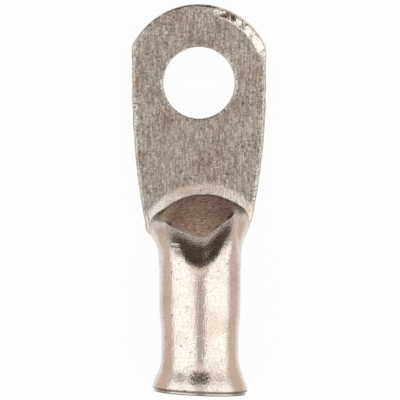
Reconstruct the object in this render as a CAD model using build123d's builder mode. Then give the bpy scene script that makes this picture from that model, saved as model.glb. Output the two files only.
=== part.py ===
from build123d import *
import math
import os

os.makedirs("parts", exist_ok=True)

# A heavy ring terminal for cable: one seamless copper tube, pressed flat at one end
# and punched for a stud, and opened into a bell mouth for the cable at the other.
# Millimetres. The origin is the stud hole's centre on the palm's underside,
# +Z is the stud's axis, and the cable leaves towards -Y.

# Tube
tube_diameter = 11.4
tube_wall = 1.5
waist_diameter = 10.85          # drawn in a little where the bell was formed
mouth_diameter = 13.4
mouth_wall = 1.25               # the flared edge is a little thinner than the tube

# Palm
palm_thickness = 2.5            # the tube's two walls, pressed together and spread
palm_width = 19.0
stud_hole_diameter = 10.1
stud_to_tip = 11.1
stud_to_corner = 5.07           # where the rounded tip meets the straight sides
stud_to_taper = 0.5             # the palm keeps its full width this far behind the stud
stud_to_crease = 15.5
shoulder_width = 15.0
fold_round = 0.6                # the press has squared the folded sides
shear_bevel = 0.25              # edge drawn over by the shears at the tip
hole_bevel = 0.15               # drawn in by the punch, on its entry side only

# Neck, measured from the crest of the crease towards the mouth
crease_radius = 7.9
shoulder_setback = 4.75
neck_length = 10.5
crown_length = 4.4              # where the ridge rounds over from the ramp to the barrel
shoulder_step = 1.3
shoulder_inset = 0.3            # the ramp's foot lies this far inside the folded sides
nose_back = 0.3                 # the ramp's buried nose is as wide as the crease is here
belly_lift = 0.04               # the neck's underside leaves the palm's this high
belly_flat = 1.2                # and stays flat this far behind the shoulders
neck_skew = 5.0                 # the press went in a few degrees out of square
closing_setback = 3.2           # where the two walls have closed on each other
slit_height = 0.35              # what is left between them there, at the least

# Barrel and bell, each length following the one before it
barrel_length = 5.5
waist_taper_length = 4.0
waist_length = 2.7
bell_length = 5.5
bell_edge_angle = 9.0           # the bell has almost levelled out where its lip begins
lip_bevel = 0.55
mouth_edge_bevel = 0.25

# Cross-sections of the neck and of the cavity in it, as shares of the neck's length
neck_stations = (-0.07, 0.05, 0.17, 0.38, 0.62, 0.83)
cavity_stations = (0.42, 0.55, 0.68, 0.8, 0.9)

# Fullness of those sections: how far each curve's handles reach, as shares of its size
nose_side = 0.25                # at the palm's end
nose_crown = 0.3
floor_fullness = 0.9            # the underside stays flat and its corners tight
side_fullness = 0.28            # added halfway along, where the ramp cuts the tube square
crown_fullness = 0.38
side_power = 1.82               # how fast the nose's sides lean in above the palm's middle
cavity_fullness = 0.3           # share of that fullness which the cavity follows
slant_share = 1.5               # the wall at the flattened sides is cut this much aslant

# Worked out from the sizes above
tube_radius = tube_diameter / 2
bore_radius = tube_radius - tube_wall
waist_radius = waist_diameter / 2
mouth_radius = mouth_diameter / 2
axis_height = mouth_radius      # the bell's lowest point is level with the palm
palm_middle = palm_thickness / 2
half_palm = palm_width / 2
half_shoulder = shoulder_width / 2
tip_rise = stud_to_tip - stud_to_corner
tip_radius = (half_palm ** 2 + tip_rise ** 2) / (2 * tip_rise)
crease_y = -stud_to_crease
shoulder_y = crease_y - shoulder_setback
round_y = crease_y - neck_length
taper_y = round_y - barrel_length
waist_y = taper_y - waist_taper_length
bell_y = waist_y - waist_length
mouth_y = bell_y - bell_length
skew = math.radians(neck_skew)
bell_angle = math.radians(bell_edge_angle)
ramp_length = neck_length - crown_length
ramp_slope = (axis_height + tube_radius - palm_thickness) / (ramp_length + crown_length / 2)
quarter_handle = 4 / 3 * (math.sqrt(2) - 1)     # handle length of a quarter circle
barrel_plane = Plane(origin=(0, 0, axis_height), x_dir=(0, 1, 0), z_dir=(1, 0, 0))
round_plane = Plane(origin=(0, round_y, axis_height), x_dir=(1, 0, 0), z_dir=(0, -1, 0))
barrel_axis = Axis((0, 0, axis_height), (0, 1, 0))


def ease(share):
    share = min(max(share, 0.0), 1.0)
    return share * share * (3 - 2 * share)


def mix(first, last, share):
    return first + (last - first) * share


def roundness(back):
    # 0 up to the shoulders, where the section is flattened, and 1 at the round tube
    return ease((back - shoulder_setback) / (neck_length - shoulder_setback))


def ridge_slope(back):
    return ramp_slope * min(max((neck_length - back) / crown_length, 0.0), 1.0)


def ridge_height(back):
    # the ridge climbs the ramp in a straight line, then rounds over to meet the barrel
    over = max(back - ramp_length, 0.0)
    return palm_thickness + ramp_slope * (back - over * over / (2 * crown_length))


def foot_half_width(back):
    # the ramp's foot follows the crease's arc up to the shoulders and then draws in
    widest = half_shoulder - shoulder_inset
    if back < shoulder_setback:
        reach = crease_radius - max(back, nose_back)
        half_crease = math.sqrt(crease_radius ** 2 - reach ** 2)
        buried = palm_middle / (palm_middle + ramp_slope * max(back, nose_back))
        return min(half_crease / (1 - buried ** side_power), widest)
    gone = (back - shoulder_setback) / (neck_length - shoulder_setback)
    return mix(widest, tube_radius, 1 - (1 - gone) ** 2)


def dome_outline(back, half_width, low, middle, top, fullness=1.0):
    # one cross-section: a crowned top on a flat floor at the palm's end, becoming
    # round at the barrel's end, with its top flattest halfway along
    gone = min(max(back / neck_length, 0.0), 1.0)
    flat_top = fullness * math.sin(math.pi * gone) ** 2
    rise = (top - middle) * (mix(nose_side, quarter_handle, gone) + side_fullness * flat_top)
    crown = half_width * (mix(nose_crown, quarter_handle, gone) + crown_fullness * flat_top)
    drop = (middle - low) * mix(floor_fullness, quarter_handle, roundness(back))
    floor = half_width * mix(floor_fullness, quarter_handle, roundness(back))
    Bezier((half_width, middle), (half_width, middle + rise), (crown, top), (0, top))
    Bezier((0, top), (-crown, top), (-half_width, middle + rise), (-half_width, middle))
    Bezier((-half_width, middle), (-half_width, middle - drop), (-floor, low), (0, low))
    Bezier((0, low), (floor, low), (half_width, middle - drop), (half_width, middle))


def neck_outline(back):
    low = mix(belly_lift, axis_height - tube_radius, roundness(back - belly_flat))
    middle = mix(palm_middle, axis_height, roundness(back))
    dome_outline(back, foot_half_width(back), low, middle, ridge_height(back))


def cavity_outline(back):
    # the wall is measured square to the ramp above, and along the slant at the sides
    low = mix(palm_middle, axis_height - bore_radius, roundness(back))
    middle = mix(low + slit_height / 2, axis_height, roundness(back))
    top = ridge_height(back) - tube_wall * math.hypot(1.0, ridge_slope(back))
    top = max(top, low + slit_height)
    side_wall = tube_wall * mix(slant_share, 1.0, roundness(back))
    half_width = foot_half_width(back) - side_wall
    dome_outline(back, half_width, low, middle, top, cavity_fullness)


def round_outline(radius):
    for quarter in (0, 90, 180, 270):
        CenterArc((0, 0), radius, quarter, 90)


def neck_plane(back):
    # square to the tube at the barrel, and turned by the press towards the palm
    turn = skew * (1 - ease(back / neck_length))
    across = (math.cos(turn), math.sin(turn), 0)
    towards_mouth = (math.sin(turn), -math.cos(turn), 0)
    return Plane(origin=(0, crease_y - back, 0), x_dir=across, z_dir=towards_mouth)


def edges_of_radius(part, radius):
    circles = part.edges().filter_by(GeomType.CIRCLE)
    return circles.filter_by(lambda edge: math.isclose(edge.radius, radius, rel_tol=1e-6))


with BuildPart() as lug_body:
    # palm, with its shoulders stepping in to the neck
    with BuildSketch() as palm_outline:
        with BuildLine():
            left_y = shoulder_y - half_shoulder * math.tan(skew)
            right_y = shoulder_y + half_shoulder * math.tan(skew)
            step_x = half_shoulder - shoulder_step
            right_corner = (half_palm, stud_to_corner)
            left_corner = (-half_palm, stud_to_corner)
            tip = ThreePointArc(right_corner, (0, stud_to_tip), left_corner)
            left_side = Line(tip @ 1, (-half_palm, -stud_to_taper))
            left_taper = TangentArc(left_side @ 1, (-half_shoulder, left_y), tangent=(0, -1))
            left_step = Line(left_taper @ 1, (-step_x, left_y - shoulder_step))
            right_side = Line(tip @ 0, (half_palm, -stud_to_taper))
            right_taper = TangentArc(right_side @ 1, (half_shoulder, right_y), tangent=(0, -1))
            right_step = Line(right_taper @ 1, (step_x, right_y - shoulder_step))
            Line(left_step @ 1, right_step @ 1)
        make_face()
    extrude(amount=palm_thickness)

    # folded sides all the way round to the neck, then the sheared tip and punched hole
    tip_rims = edges_of_radius(lug_body, tip_radius)
    rims = lug_body.edges().filter_by(Plane.XY)
    fillet([rim for rim in rims if rim not in tip_rims], fold_round)
    chamfer(edges_of_radius(lug_body, tip_radius), shear_bevel)
    Hole(stud_hole_diameter / 2)
    chamfer(edges_of_radius(lug_body, stud_hole_diameter / 2).group_by(Axis.Z)[-1], hole_bevel)

    # neck, from a nose buried in the palm back to the round tube
    for station in neck_stations:
        with BuildSketch(neck_plane(station * neck_length)):
            with BuildLine():
                neck_outline(station * neck_length)
            make_face()
    with BuildSketch(round_plane):
        with BuildLine():
            round_outline(tube_radius)
        make_face()
    loft()

    # barrel, waist and bell, turned about the tube's axis
    with BuildSketch(barrel_plane):
        with BuildLine():
            start = Line((round_y, 0), (round_y, tube_radius))
            straight = Line(start @ 1, (taper_y, tube_radius))
            level = [(-1, 0), (-1, 0)]
            drawn_in = Spline(straight @ 1, (waist_y, waist_radius), tangents=level)
            waist = Line(drawn_in @ 1, (bell_y, waist_radius))
            lip_start = (mouth_y + lip_bevel, mouth_radius)
            bell_edge = (-math.cos(bell_angle), math.sin(bell_angle))
            bell = Spline(waist @ 1, lip_start, tangents=[(-1, 0), bell_edge])
            lip = Line(bell @ 1, (mouth_y, mouth_radius - lip_bevel))
            mouth_face = Line(lip @ 1, (mouth_y, 0))
            Line(mouth_face @ 1, start @ 0)
        make_face()
    revolve(axis=barrel_axis)

    # wire bore, opening with the bell
    with BuildSketch(barrel_plane):
        with BuildLine():
            start = Line((round_y, 0), (round_y, bore_radius))
            wall = Line(start @ 1, (bell_y, bore_radius))
            mouth_edge = (mouth_y, mouth_radius - mouth_wall)
            flare = TangentArc(wall @ 1, mouth_edge, tangent=(-1, 0))
            mouth_face = Line(flare @ 1, (mouth_y, 0))
            Line(mouth_face @ 1, start @ 0)
        make_face()
    revolve(axis=barrel_axis, mode=Mode.SUBTRACT)
    chamfer(edges_of_radius(lug_body, mouth_radius - mouth_wall), mouth_edge_bevel)

    # under the ramp the bore closes to a slit between the two walls
    cavity_backs = [closing_setback] + [station * neck_length for station in cavity_stations]
    for back in cavity_backs:
        with BuildSketch(neck_plane(back)):
            with BuildLine():
                cavity_outline(back)
            make_face()
    with BuildSketch(round_plane):
        with BuildLine():
            round_outline(bore_radius)
        make_face()
    loft(ruled=True, mode=Mode.SUBTRACT)

lug_body.part.label = "lug_body"
export_step(lug_body.part, "parts/lug_body.step")
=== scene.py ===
import math
import bpy
from mathutils import Matrix, Vector, noise


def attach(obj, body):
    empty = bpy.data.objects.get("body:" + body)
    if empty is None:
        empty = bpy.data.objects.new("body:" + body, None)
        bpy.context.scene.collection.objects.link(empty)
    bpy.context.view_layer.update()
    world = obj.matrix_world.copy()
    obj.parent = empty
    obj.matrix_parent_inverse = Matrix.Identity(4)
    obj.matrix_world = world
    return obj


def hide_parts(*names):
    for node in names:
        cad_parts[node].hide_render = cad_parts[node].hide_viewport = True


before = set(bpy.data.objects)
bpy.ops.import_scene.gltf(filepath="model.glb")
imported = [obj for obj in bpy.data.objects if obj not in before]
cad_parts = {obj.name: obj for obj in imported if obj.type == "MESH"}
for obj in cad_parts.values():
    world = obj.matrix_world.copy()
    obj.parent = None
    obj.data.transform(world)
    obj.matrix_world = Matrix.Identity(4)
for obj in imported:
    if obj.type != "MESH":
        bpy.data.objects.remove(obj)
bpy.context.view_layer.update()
mm = 0.001                                  # the frame is in metres, sizes below are in mm
print("frame loaded")


# helpers

def linearColour(hexText):
    channels = [int(hexText[i:i + 2], 16) / 255 for i in (1, 3, 5)]
    return [c / 12.92 if c <= 0.04045 else ((c + 0.055) / 1.055) ** 2.4 for c in channels] + [1.0]


def emptyMaterial(name):
    material = bpy.data.materials.new(name)
    material.use_nodes = True
    material.node_tree.nodes.clear()
    return material, material.node_tree


def addNode(tree, kind, settings=None, inputs=()):
    # an input is a value, a socket, or a node whose first output is meant
    node = tree.nodes.new(kind)
    for name, value in (settings or {}).items():
        setattr(node, name, value)
    for name, value in (inputs.items() if isinstance(inputs, dict) else enumerate(inputs)):
        if isinstance(value, bpy.types.Node):
            value = value.outputs[0]
        if isinstance(value, bpy.types.NodeSocket):
            tree.links.new(value, node.inputs[name])
        else:
            node.inputs[name].default_value = value
    return node


def ease(share):
    share = min(max(share, 0.0), 1.0)
    return share * share * (3 - 2 * share)


def unevenness(x, y, perMm, layer):
    # the same each run, from -1 to 1; each use has a layer of its own
    return noise.noise(Vector((x * perMm, y * perMm, layer)))


# lug

lug = {
    "voxel": 0.192,                         # mm, evenly spaced skin of under 200,000 triangles
    "wearSteps": 1,                         # how far all the edges are rubbed round
    "halfPalm": 9.5,                        # from here to the end face's radius: the solid's own sizes
    "palmTop": 2.5,
    "taperStart": -0.5,                     # the palm's sides curve in from this y
    "taperRadius": 98.5,
    "tipCentre": 0.6,
    "tipRadius": 10.5,
    "holeRadius": 5.05,
    "creaseY": -15.5,                       # where the crease's arc crosses the middle
    "creaseRadius": 7.9,
    "axisHeight": 6.7,
    "tubeRadius": 5.7,
    "bellStart": -38.2,
    "mouthY": -43.7,
    "mouthRadius": 6.7,
    "endRadius": 6.15,                      # the mouth's end face, inside its bevel
    "palmFrom": -24.0,                      # the palm is worked from this y to the tip
    "barrelFrom": -22.0,                    # and the barrel from this one to the mouth
    "sidesFrom": -20.0,                     # y between which the folded sides are worked
    "sidesTo": 4.6,
    "pressSkew": 0.075,                     # the press went in out of square, as a slope
    "lipRise": 0.26,                        # metal that the press pushed up before the crease
    "lipWidth": 1.5,
    "lipUneven": 0.3,
    "rampDent": 0.3,                        # hollow in the steep face, and where it is deepest
    "dentPlace": 0.45,
    "rampEnd": (6.2, 0.56, 0.68),           # the face ends this far back, less to the left and right
    "rampTip": 0.5,                         # how blunt the V's tip is
    "crownLength": 5.6,                     # from there the metal rounds over to the barrel
    "crownSlope": 1.12,
    "crownEnd": 12.5,
    "shoulderReach": (4.5, 5.65),           # the tube keeps its round shoulders out to here
    "pressedFrom": -28.2,                   # the press moved nothing past these two
    "pressedTo": -15.0,
    "boreFloor": (3.0, 2.4, 2.75),          # so far behind the crease, below this height, else this
    "squaredFold": (0.6, 0.45),             # upper edges that the press squared: width and height
    "squaredHole": (0.4, 0.25),
    "squaredTip": (0.45, 0.3),
    "tipReach": 1.9,                        # the shears marked nothing further in than this
    "tipDraw": (1.4, 0.3),                  # edge drawn over by them: width and slope
    "tipUneven": 0.3,
    "tipDrawRest": 0.12,                    # share of it at the tip's left
    "tipDrawX": (1.0, 4.0),                 # it grows across these
    "tipDrawY": (3.5, 5.0),
    "tipChip": 0.2,
    "seam": (1.25, 0.22, 0.16),             # line between the tube's two walls: height, width, depth
    "foldWave": 0.13,                       # unevenness of the folded sides, outside this x
    "foldWaveFrom": 6.5,
    "barrelWave": 0.05,                     # unevenness of the tube, outside this radius
    "barrelWaveFrom": 4.6,
    "rimLength": 0.5,                       # narrower rim where the mouth was cut
    "rimRadius": 6.42,
    "mouthTilt": 0.043,                     # the mouth is cut out of square by this slope
    "nicks": (                              # x, y, half length, depth; a rise where it is negative
        (-3.5, -22.6, 0.9, 0.1), (-3.3, -22.9, 0.8, -0.05), (1.4, -18.75, 0.9, -0.14),
        (-2.3, -28.2, 0.4, 0.09), (-3.5, -27.3, 0.2, 0.11), (1.9, -33.4, 0.3, 0.07)),
    "nickWidth": 0.27,
}


def behindCrease(x, y):
    return lug["creaseY"] - y + lug["pressSkew"] * x


def pressedLip(x, y, z):
    # a hollow rise before the crease, up to a sharp crest where the steep face starts
    back = behindCrease(x, y)
    outside = math.hypot(x, lug["creaseRadius"] - back) - lug["creaseRadius"]
    if z < 1.7 or back > 7.5 or outside > lug["lipWidth"]:   # lower faces, and the far side of the circle
        return 0.0
    rise = lug["lipRise"] * (1 + lug["lipUneven"] * unevenness(x, y, 0.7, 3.0))
    already = max(z - lug["palmTop"], 0.0)
    if outside > 0:
        return max(rise * (1 - outside / lug["lipWidth"]) ** 1.2 - already, 0.0)
    return max(rise - already, 0.0) * ease((outside + 1.1) / 0.6)      # it is gone 1.1 mm up the face


def pressedTube(x, y, z):
    # lift to the tube's height where the press stopped: a steep face that ends in a V, and
    # behind it a crown that rounds over to the tube's full shoulders
    back = behindCrease(x, y)
    fullOut, gone = lug["shoulderReach"]
    across = min(abs(x), gone)
    foot = lug["creaseRadius"] - math.sqrt(lug["creaseRadius"] ** 2 - across ** 2)
    middle, left, right = lug["rampEnd"]
    ends = middle - (left if x < 0 else right) * (math.hypot(across, lug["rampTip"]) - lug["rampTip"])
    roundTop = lug["axisHeight"] + math.sqrt(max(lug["tubeRadius"] ** 2 - across ** 2, 0.0))
    crownDrop = lug["crownSlope"] * lug["crownLength"] / 2
    overCrown = min(max((back - ends) / lug["crownLength"], 0.0), 1.0)
    if overCrown > 0:
        height = roundTop - crownDrop * (1 - overCrown) ** 2
    else:
        share = (back - foot) / (ends - foot)
        dent = lug["rampDent"] * min(share / lug["dentPlace"], (1 - share) / (1 - lug["dentPlace"]))
        height = lug["palmTop"] + (roundTop - crownDrop - lug["palmTop"]) * share - max(dent, 0.0)
    keeps = ease((gone - abs(x)) / (gone - fullOut))
    keeps *= ease((back - foot) / 0.35) * ease(lug["crownEnd"] - back)
    return keeps * (height - z)


def squaredEdge(x, y, z):
    # the upper edges are squarer than the skin leaves them: hole, folds, and the tip's left
    edges = [(math.hypot(x, y) - lug["holeRadius"], *lug["squaredHole"])]
    if lug["sidesFrom"] < y < lug["sidesTo"]:
        half = lug["halfPalm"]
        if y < lug["taperStart"]:
            half -= lug["taperRadius"] - math.sqrt(lug["taperRadius"] ** 2 - (y - lug["taperStart"]) ** 2)
        edges.append((half - abs(x), *lug["squaredFold"]))
    if y > lug["sidesTo"] and x < 0:
        edges.append((lug["tipRadius"] - math.hypot(x, y - lug["tipCentre"]), *lug["squaredTip"]))
    raised = 0.0
    for inside, width, height in edges:
        share = inside / width
        if z > 1.5 and 0 < share < 1:                        # upper faces only
            raised = max(raised, height * math.sqrt(share) * (1 - share) ** 2)
    return raised


def tipWear(x, y, z):
    # how far the sheared edge is drawn over and chipped, as (inward, downward)
    edge = lug["tipRadius"] - math.hypot(x, y - lug["tipCentre"])
    (fromX, toX), (fromY, toY) = lug["tipDrawX"], lug["tipDrawY"]
    if y < fromY or edge > lug["tipReach"]:
        return 0.0, 0.0
    rightSide = ease((x - fromX) / (toX - fromX)) * ease((y - fromY) / (toY - fromY))
    width, slope = lug["tipDraw"]
    width *= 1 + lug["tipUneven"] * unevenness(x, y, 0.9, 2.0)
    rest = lug["tipDrawRest"]
    drawn = slope * (rest + (1 - rest) * rightSide) * min(max(width - edge, 0.0), width)
    chips = unevenness(x, y, 1.3, 8.0) + 0.6 * unevenness(x, y, 3.1, 5.0)
    chipped = lug["tipChip"] * max(chips - 0.05, 0.0)
    upper = ease((z - 1.3) / 0.9)                            # the lower edge is left as it is
    seamHeight, seamWidth, seamDepth = lug["seam"]
    seam = seamDepth * max(1 - abs(z - seamHeight) / seamWidth, 0.0) * ease(1 - edge / 0.25)
    return upper * chipped * ease(1 - edge / 0.5) + seam, upper * (drawn + chipped * ease(1 - edge / 0.6))


def nicked(x, y):
    drop = 0.0
    for nickX, nickY, reach, depth in lug["nicks"]:
        drop += depth * ease(1 - abs(y - nickY) / lug["nickWidth"]) * ease(1.5 - 1.5 * abs(x - nickX) / reach)
    return drop


def onOuterSkin(x, y, z, facing):
    # not on the floor of the bore, which faces up as well
    nearCrease, floorThere, floorBehind = lug["boreFloor"]
    floor = floorThere if behindCrease(x, y) < nearCrease else floorBehind
    return x * facing.x > -0.15 * abs(x) and z > floor


def workedPalm(spot, new, facing):
    # lip, squared edges, worn tip, and folds that are not quite straight
    x, y, z = spot
    if facing.z > 0.2:
        new.z += pressedLip(x, y, new.z) + squaredEdge(x, y, z)
    inward, downward = tipWear(x, y, z)
    if inward or downward:
        new -= Vector((x, y - lug["tipCentre"], 0)).normalized() * inward
        new.z -= downward
    elif lug["sidesFrom"] < y < 5 and abs(x) > lug["foldWaveFrom"]:
        wave = 0.5 + 0.5 * noise.noise(Vector((0.4 * x, 0.8 * y, z * 0.4)))
        new.x -= math.copysign(lug["foldWave"] * wave * ease((abs(x) - lug["foldWaveFrom"]) / 0.8), x)
    return new


def workedBarrel(spot, new, facing):
    # a tube that is not quite even, its narrower rim, and its mouth cut askew
    x, y, z = spot
    fromLine = Vector(spot) - Vector((0, y, lug["axisHeight"]))
    out, radius = fromLine.normalized(), fromLine.length
    wave = 0.5 + 0.5 * noise.noise(Vector((x * 0.35, y * 0.22, z * 0.35)))
    outer = ease((radius - lug["barrelWaveFrom"]) / 0.5)
    new -= out * lug["barrelWave"] * wave * outer * ease((lug["barrelFrom"] - y) / 2)
    fromEnd = y - lug["mouthY"]
    if facing.y < -0.85 and radius > 5.6:                    # the end face
        new += out * (lug["rimRadius"] - lug["endRadius"]) * ease((radius - 5.6) / 0.5)
    elif radius > 5.95 and fromEnd < 0.7:                    # the rim's outside
        new += out * ((lug["rimRadius"] if fromEnd < lug["rimLength"] else lug["mouthRadius"]) - radius)
    bell = ease((lug["bellStart"] - y) / (lug["bellStart"] - lug["mouthY"]))
    new.y += bell * lug["mouthTilt"] * (lug["mouthRadius"] - x)
    return new


def workedShape(spot, facing):
    x, y, z = spot
    new = Vector(spot)
    if onOuterSkin(x, y, z, facing):
        underPress = lug["pressedFrom"] < y < lug["pressedTo"] and abs(x) < lug["shoulderReach"][1]
        if underPress and facing.z > 0.05:
            new.z += pressedTube(x, y, z) * ease((facing.z - 0.05) / 0.2)
        if facing.z > 0.2 and z > 3:
            new.z -= nicked(x, y)
    if y > lug["palmFrom"]:
        new = workedPalm(spot, new, facing)
    if y < lug["barrelFrom"]:
        new = workedBarrel(spot, new, facing)
    return new


def buildLug():
    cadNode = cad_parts["lug_body"]
    skin = bpy.data.objects.new("lug_skin", cadNode.data.copy())
    bpy.context.scene.collection.objects.link(skin)
    even = skin.modifiers.new("evenSkin", "REMESH")
    even.mode = "VOXEL"
    even.voxel_size = lug["voxel"] * mm
    even.use_smooth_shade = True
    worn = skin.modifiers.new("wornEdges", "SMOOTH")
    worn.factor = 0.5
    worn.iterations = lug["wearSteps"]
    depsgraph = bpy.context.evaluated_depsgraph_get()
    mesh = bpy.data.meshes.new_from_object(skin.evaluated_get(depsgraph))
    skin.modifiers.clear()
    skin.data = mesh
    facings = [Vector(vertex.normal) for vertex in mesh.vertices]     # before anything moves
    for vertex, facing in zip(mesh.vertices, facings):
        vertex.co = workedShape(vertex.co / mm, facing) * mm
    mesh.materials.clear()
    mesh.materials.append(tinnedCopper())
    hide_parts("lug_body")
    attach(skin, "root")
    print("lug skin:", len(mesh.polygons), "faces")


tinning = {
    "brightTin": "#DDD4CB",
    "thinTin": "#D0BAAD",                   # copper shows through where the tin is thin
    "thinShare": 0.8,
    "bareCopper": "#E0BFB1",                # rubbed through on the ramp, and browned since
    "orangeCopper": "#FFDCC6",              # at the ramp's left corner
    "orangeX": (-4.6, -2.6, 0.15),          # mm, x across which that fades, and the share it keeps
    "roughness": 0.2,
    "pressedRoughness": 0.27,
    "copperRoughness": 0.42,
    "patterns": {                           # mm along x and y, and Blender's Detail
        "pits": (0.3, 0.3, 2.0),            # real ones are finer and would not show
        "clouds": (3.5, 3.5, 3.0),          # thinner and thicker tin
        "ragged": (0.9, 0.9, 4.0),          # end of the bare copper
        "darkSpecks": (0.55, 0.55, 0.0),         # small dark specks
        "drawLines": (0.2, 1.3, 1.0),       # left by drawing the tube, also coarser than real ones
        "rubs": (0.55, 0.14, 2.0),          # rubbing marks across the ramp
        "scratches": (1.6, 0.14, 0.0),      # short scratches across the lug, painted as bright glints
    },
    "pitDepth": 0.036,                      # mm
    "pitDepthRest": 0.5,                    # share of it off the palm
    "drawLineDepth": 0.022,
    "raggedEdge": 1.4,                      # mm, how unevenly the bare copper ends
    "pressedTop": (2.9, 3.6),               # mm, heights between which the palm's finish ends
    "pressedUnder": (0.5, 1.1),             # below these it runs on under the neck
    "pressedEnd": (-22.0, -18.5),           # and fades out across these y
    "darkestPit": 0.48,                     # from here on: brightness, 1 is the plain metal's
    "darkestPitRest": 0.78,
    "lineLevels": (0.7, 1.22),
    "rubLevels": (0.6, 1.5),
    "pressedDarker": 0.92,                    # the pressed palm's colour is made darker than the barrel's
    # painted shade on the crown just past the steep face
    "crownPaintedShade": 0.84,
    "tipPaintedHighlight": 1.3,                   # painted highlight: the drawn-over edge at the tip is painted brighter
    "speckDark": 0.5,
    "scratchPaintedGlint": 1.5,
    # painted shade lines along the mouth's end edge and the rim's step
    "rimPaintedShade": 0.3,
}


def tinnedCopper():
    # thin dull tin over drawn and pressed copper: a soft mottled shine, grey to pinkish,
    # with fine pits, long draw lines and brown copper where the press rubbed the tin away
    material, tree = emptyMaterial("tinnedCopper")
    maths, vectors, grade = "ShaderNodeMath", "ShaderNodeVectorMath", "ShaderNodeMapRange"
    mix, split, join = "ShaderNodeMix", "ShaderNodeSeparateXYZ", "ShaderNodeCombineXYZ"
    stretch, bump = "ShaderNodeMapping", "ShaderNodeBump"
    plus, minus, times = {"operation": "ADD"}, {"operation": "SUBTRACT"}, {"operation": "MULTIPLY"}
    timesPlus, size = {"operation": "MULTIPLY_ADD"}, {"operation": "ABSOLUTE"}
    least, most = {"operation": "MINIMUM"}, {"operation": "MAXIMUM"}
    apart, length, scaled = {"operation": "DISTANCE"}, {"operation": "LENGTH"}, {"operation": "SCALE"}
    smooth, colours = {"interpolation_type": "SMOOTHSTEP"}, {"data_type": "RGBA"}

    # where on the lug, in mm
    place = addNode(tree, "ShaderNodeTexCoord").outputs
    inMm = addNode(tree, stretch, None, {"Vector": place["Object"], "Scale": (1 / mm, 1 / mm, 1 / mm)})
    x, y, z = addNode(tree, split, None, (inMm,)).outputs
    upward = addNode(tree, split, None, (place["Normal"],)).outputs["Z"]

    # how far inside the crease's arc, and before the end of the steep face
    skewed = addNode(tree, maths, timesPlus, (x, lug["pressSkew"], lug["creaseY"]))
    back = addNode(tree, maths, minus, (skewed, y))
    fromCrease = addNode(tree, join, None, (x, back))
    arcCentre = (0, lug["creaseRadius"], 0)
    fromCentre = addNode(tree, vectors, apart, (fromCrease, arcCentre)).outputs["Value"]
    insideArc = addNode(tree, maths, minus, (lug["creaseRadius"], fromCentre))
    middle, left, right = lug["rampEnd"]
    bluntly = addNode(tree, join, None, (x, lug["rampTip"]))
    across = addNode(tree, vectors, length, (bluntly,)).outputs["Value"]
    pastTip = addNode(tree, maths, minus, (across, lug["rampTip"]))
    narrowing = addNode(tree, grade, smooth, (x, -0.5, 0.5, -left, -right))
    ends = addNode(tree, maths, timesPlus, (pastTip, narrowing, middle))
    beforeEnd = addNode(tree, maths, minus, (ends, back))

    # the pressed palm: up to the lip above, on under the neck below, and not on the drawn edge
    level = addNode(tree, grade, smooth, (z, *tinning["pressedTop"], 1.0, 0.0))
    lipStart = -lug["lipWidth"]
    beforeLip = addNode(tree, grade, smooth, (insideArc, lipStart, lipStart + 0.5, 1.0, 0.0))
    underneath = addNode(tree, grade, smooth, (z, *tinning["pressedUnder"], 1.0, 0.0))
    beforeNeck = addNode(tree, grade, smooth, (y, *tinning["pressedEnd"]))
    fromTipCentre = addNode(tree, vectors, apart, (inMm, (0, lug["tipCentre"], 0))).outputs["Value"]
    drawStart = lug["tipRadius"] - lug["tipDraw"][0] + 0.1
    insideTip = addNode(tree, grade, smooth, (fromTipCentre, drawStart, drawStart + 0.3, 1.0, 0.0))
    leftOfDraw = addNode(tree, grade, smooth, (x, *lug["tipDrawX"], 1.0, 0.0))
    belowTip = addNode(tree, grade, smooth, (y, 3.0, 4.5, 1.0, 0.0))
    leftOrBelow = addNode(tree, maths, most, (belowTip, leftOfDraw))
    beforeDraw = addNode(tree, maths, most, (insideTip, leftOrBelow))
    outOfRamp = addNode(tree, maths, most, (beforeLip, underneath))
    onPalm = level
    for share in (outOfRamp, beforeNeck, beforeDraw):
        onPalm = addNode(tree, maths, times, (onPalm, share))

    # patterns
    patterns = {}
    for name, (alongX, alongY, detail) in tinning["patterns"].items():
        finest = min(alongX, alongY)
        slender = (finest / alongX, finest / alongY, 1)
        drawnOut = addNode(tree, stretch, None, {"Vector": inMm, "Scale": slender})
        patterns[name] = addNode(tree, "ShaderNodeTexNoise", None,
                                 {"Vector": drawnOut, "Scale": 1 / finest, "Detail": detail})
    pits, lines = patterns["pits"], patterns["drawLines"]

    # bare copper: from the crease's arc back to the ragged end of the steep face
    ragged = tinning["raggedEdge"]
    unevenly = addNode(tree, maths, timesPlus, (patterns["ragged"], ragged, -ragged / 2))
    worn = addNode(tree, maths, plus, (beforeEnd, unevenly))
    rubbed = addNode(tree, grade, smooth, (insideArc, 0.15, 0.5))
    toEnd = addNode(tree, grade, smooth, (worn, 0.0, 0.5))
    above = addNode(tree, grade, smooth, (z, lug["palmTop"] + 0.1, lug["palmTop"] + 0.4))
    outside = addNode(tree, grade, smooth, (upward, 0.0, 0.15))
    for share in (toEnd, above, outside):
        rubbed = addNode(tree, maths, times, (rubbed, share))

    # colour; a mix of colours has them in sockets 6 and 7 and its result in 2, one of numbers in 2 and 3
    thin = addNode(tree, grade, smooth, (patterns["clouds"], 0.45, 0.75, 0.0, tinning["thinShare"]))
    tin = addNode(tree, mix, colours, {0: thin, 6: linearColour(tinning["brightTin"]),
                                       7: linearColour(tinning["thinTin"])}).outputs[2]
    fromX, toX, rest = tinning["orangeX"]
    orange = addNode(tree, grade, smooth, (x, fromX, toX, 1.0, rest))
    copper = addNode(tree, mix, colours, {0: orange, 6: linearColour(tinning["bareCopper"]),
                                          7: linearColour(tinning["orangeCopper"])}).outputs[2]
    metal = addNode(tree, mix, colours, {0: rubbed, 6: tin, 7: copper}).outputs[2]
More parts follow.
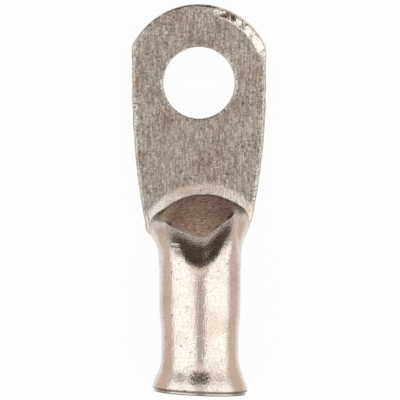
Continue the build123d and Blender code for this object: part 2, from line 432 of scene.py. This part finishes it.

    # light and dark: mottled palm, finer barrel, streaky ramp, painted shade on the crown, a painted
    # highlight on the tip's drawn edge, dark specks, scratches painted as bright glints, painted shade lines
    # at the rim
    pitted = addNode(tree, grade, smooth, (pits, 0.3, 0.62, tinning["darkestPit"], 1.0))
    lined = addNode(tree, grade, smooth, (lines, 0.25, 0.7, *tinning["lineLevels"]))
    coarse = addNode(tree, maths, times, (pitted, lined))
    fine = addNode(tree, grade, smooth, (pits, 0.25, 0.55, tinning["darkestPitRest"], 1.0))
    streaked = addNode(tree, grade, smooth, (patterns["rubs"], 0.34, 0.66, *tinning["rubLevels"]))
    grain = addNode(tree, mix, None, {0: onPalm, 2: fine, 3: coarse})
    shade = addNode(tree, mix, None, {0: rubbed, 2: grain, 3: streaked})
    slanted = addNode(tree, maths, timesPlus, (x, lug["mouthTilt"], y))
    endLine = lug["mouthY"] + lug["mouthTilt"] * lug["mouthRadius"]
    fromEnd = addNode(tree, maths, minus, (slanted, endLine))
    fromStep = addNode(tree, maths, minus, (fromEnd, lug["rimLength"]))
    atEnd = addNode(tree, maths, size, (fromEnd,))
    atStep = addNode(tree, maths, size, (fromStep,))
    nearest = addNode(tree, maths, least, (atEnd, atStep))
    for ranged in (
            (onPalm, 0.0, 1.0, 1.0, tinning["pressedDarker"]),
            # painted shade on the crown just past the steep face
            (worn, -2.6, -1.2, 1.0, tinning["crownPaintedShade"]),
            # painted highlight on the tip's drawn-over edge
            (beforeDraw, 0.0, 1.0, tinning["tipPaintedHighlight"], 1.0),
            (patterns["darkSpecks"], 0.78, 0.82, 1.0, tinning["speckDark"]),
            # scratches painted as bright glints
            (patterns["scratches"], 0.74, 0.78, 1.0, tinning["scratchPaintedGlint"]),
            # painted shade lines along the mouth's end edge and the rim's step
            (nearest, 0.1, 0.28, tinning["rimPaintedShade"], 1.0)):
        factor = addNode(tree, grade, smooth, ranged)
        shade = addNode(tree, maths, times, (shade, factor))
    colour = addNode(tree, vectors, scaled, {0: metal, "Scale": shade})

    # surface
    depthShare = addNode(tree, grade, smooth, (onPalm, 0.0, 1.0, tinning["pitDepthRest"], 1.0))
    pitBump = addNode(tree, bump, None,
                      {"Height": pits, "Strength": depthShare, "Distance": tinning["pitDepth"] * mm})
    lineBump = addNode(tree, bump, None,
                       {"Height": lines, "Normal": pitBump, "Distance": tinning["drawLineDepth"] * mm})
    rougher = addNode(tree, grade, smooth,
                      (onPalm, 0.0, 1.0, tinning["roughness"], tinning["pressedRoughness"]))
    onCopper = addNode(tree, mix, None, {0: rubbed, 2: rougher, 3: tinning["copperRoughness"]})
    inPits = addNode(tree, grade, smooth, (pits, 0.35, 0.65, 0.06, -0.04))
    roughness = addNode(tree, maths, plus, (onCopper, inPits))
    shader = addNode(tree, "ShaderNodeBsdfPrincipled", None,
                     {"Base Color": colour, "Metallic": 1.0, "Roughness": roughness, "Normal": lineBump})
    addNode(tree, "ShaderNodeOutputMaterial", None, {"Surface": shader})
    return material


buildLug()


# table, lamps and camera

studio = {
    "tableHalf": 700.0,                     # mm
    "tableWhite": "#FAFAFA",
    "backgroundShare": 0.95,                # how far the seen table is lifted to plain white
    "roomWhite": "#FFFFFF",
    "roomLevel": 0.45,                      # soft light from everywhere
    "boxColour": "#F0FFFA",
    "boxLevel": 0.47,                       # brightness of the two soft boxes' faces
    "boxLow": (600.0, 20.0),                # x and z of a soft box's lower edge
    "boxHigh": (90.0, 400.0),               # and of its upper edge
    "boxAlong": (-430.0, 500.0),            # y of its two ends
}
cards = {                                   # seen only in the metal: colour, level, corners in mm
    "ceilingCard": ("#C8BDB5", 1.0, ((-110, -280, 480), (110, -280, 480), (110, 60, 480), (-110, 60, 480))),
    "ceilingWindow": ("#F0E6DE", 1.1, ((-130, 60, 475), (130, 60, 475), (130, 270, 475), (-130, 270, 475))),
    "ceilingFlag": ("#56483F", 1.0, ((-150, 270, 470), (150, 270, 470), (260, 520, 470), (-260, 520, 470))),
    "spotCard": ("#3E332D", 1.0, (
        (-110, 96, 200), (110, 96, 200), (115, 180, 200),
        (190, 290, 200), (-190, 290, 200), (-115, 180, 200))),
    "endFlag": ("#56483F", 1.0, ((-850, 507, 8), (850, 507, 8), (850, 507, 480), (-850, 507, 480))),
    "leftSkirt": ("#6E5A50", 1.0, (
        (-598, -430, 2), (-598, -430, 30), (-598, 150, 30), (-598, 490, 90), (-598, 490, 2))),
    "rightSkirt": ("#6E5A50", 1.0, (
        (598, -430, 2), (598, -430, 30), (598, 150, 30), (598, 490, 90), (598, 490, 2))),
    "leftBoard": ("#E4D0C4", 1.0, ((-420, -420, 1), (-13, -420, 1), (-13, 90, 1), (-420, 90, 1))),
    "rightBoard": ("#E0CEC4", 1.0, ((13, -420, 1), (420, -420, 1), (420, 90, 1), (13, 90, 1))),
}
hidesBoxes = "spotCard"                     # the one card that hides part of a soft box


def flatSheet(name, corners, material):
    mesh = bpy.data.meshes.new(name)
    mesh.from_pydata([Vector(corner) * mm for corner in corners], [], [range(len(corners))])
    mesh.materials.append(material)
    sheet = bpy.data.objects.new(name, mesh)
    bpy.context.scene.collection.objects.link(sheet)
    return sheet


def seenRay(tree):
    # 1 for what is seen straight, in a reflection or through something clear
    path = addNode(tree, "ShaderNodeLightPath").outputs
    direct = addNode(tree, "ShaderNodeMath", {"operation": "MAXIMUM"},
                     (path["Is Camera Ray"], path["Is Glossy Ray"]))
    return addNode(tree, "ShaderNodeMath", {"operation": "MAXIMUM"}, (direct, path["Is Transmission Ray"]))


def whitePaper():
    # matt white paper: it keeps the lug's shadow, and is otherwise seen as plain white
    material, tree = emptyMaterial("whitePaper")
    paper = addNode(tree, "ShaderNodeBsdfDiffuse", None, {"Color": linearColour(studio["tableWhite"])})
    glow = addNode(tree, "ShaderNodeEmission", None, {"Strength": 1.0})
    share = addNode(tree, "ShaderNodeMath", {"operation": "MULTIPLY"},
                    (seenRay(tree), studio["backgroundShare"]))
    mixed = addNode(tree, "ShaderNodeMixShader", None, (share, paper, glow))
    addNode(tree, "ShaderNodeOutputMaterial", None, {"Surface": mixed})
    return material


def glowingCard(name, hexText, level):
    # plain card: an even light or dark patch in the metal's shine
    material, tree = emptyMaterial(name)
    glow = addNode(tree, "ShaderNodeEmission", None, {"Color": linearColour(hexText), "Strength": level})
    addNode(tree, "ShaderNodeOutputMaterial", None, {"Surface": glow})
    return material


def buildTable():
    half = studio["tableHalf"]
    flatSheet("table", ((-half, -half, 0), (half, -half, 0), (half, half, 0), (-half, half, 0)), whitePaper())


def addSoftBox(name, side):
    low, high, along = studio["boxLow"], studio["boxHigh"], studio["boxAlong"]
    rise = Vector((side * (high[0] - low[0]), 0, high[1] - low[1]))
    light = bpy.data.lights.new(name, "AREA")
    light.shape = "RECTANGLE"
    light.size, light.size_y = rise.length * mm, (along[1] - along[0]) * mm
    light.color = linearColour(studio["boxColour"])[:3]
    light.energy = studio["boxLevel"] * math.pi * light.size * light.size_y      # watts for that level
    lamp = bpy.data.objects.new(name, light)
    bpy.context.scene.collection.objects.link(lamp)
    lamp.location = Vector((side * (low[0] + high[0]) / 2, sum(along) / 2, (low[1] + high[1]) / 2)) * mm
    across, lengthwise = rise.normalized(), Vector((0, 1, 0))
    back = across.cross(lengthwise)
    if back.z < 0:                          # it has to shine down
        across, back = -across, -back
    lamp.rotation_euler = Matrix((across, lengthwise, back)).transposed().to_euler()
    lamp.visible_camera = False


def buildLight():
    world = bpy.data.worlds.new("studio")
    world.use_nodes = True
    tree = world.node_tree
    tree.nodes.clear()
    strength = addNode(tree, "ShaderNodeMapRange", None,
                       {"Value": seenRay(tree), "To Min": studio["roomLevel"], "To Max": 1.0})
    room = addNode(tree, "ShaderNodeBackground", None,
                   {"Color": linearColour(studio["roomWhite"]), "Strength": strength})
    addNode(tree, "ShaderNodeOutputWorld", None, {"Surface": room})
    bpy.context.scene.world = world
    addSoftBox("leftBox", -1)
    addSoftBox("rightBox", 1)
    for name, (hexText, level, corners) in cards.items():
        card = flatSheet(name, corners, glowingCard(name, hexText, level))
        card.visible_camera = False
        card.visible_diffuse = False
        card.visible_shadow = name == hidesBoxes


shot = {
    "distance": 620.0,                      # mm
    "pixelsPerMm": 7.1,
    "pixelsAcross": 400,
    "centre": (0.1, -16.5, 3.0),
    "tiltUp": 2.0,                          # degrees
    "tiltLeft": 1.5,
}


def buildCamera():
    data = bpy.data.cameras.new("camera")
    camera = bpy.data.objects.new("camera", data)
    bpy.context.scene.collection.objects.link(camera)
    frameWidth = shot["pixelsAcross"] / shot["pixelsPerMm"]
    data.sensor_width = 36.0
    data.lens = data.sensor_width * shot["distance"] / frameWidth
    data.clip_start = 0.01
    up, left = math.radians(shot["tiltUp"]), math.radians(shot["tiltLeft"])
    away = Vector((-math.sin(left), math.sin(up), math.cos(left) * math.cos(up))).normalized()
    camera.location = (Vector(shot["centre"]) + away * shot["distance"]) * mm
    right = Vector((0, 1, 0)).cross(away).normalized()
    camera.rotation_euler = Matrix((right, away.cross(right), away)).transposed().to_euler()
    bpy.context.scene.camera = camera


buildTable()
buildLight()
buildCamera()
bpy.context.scene.view_settings.view_transform = "Standard"
print("studio ready")
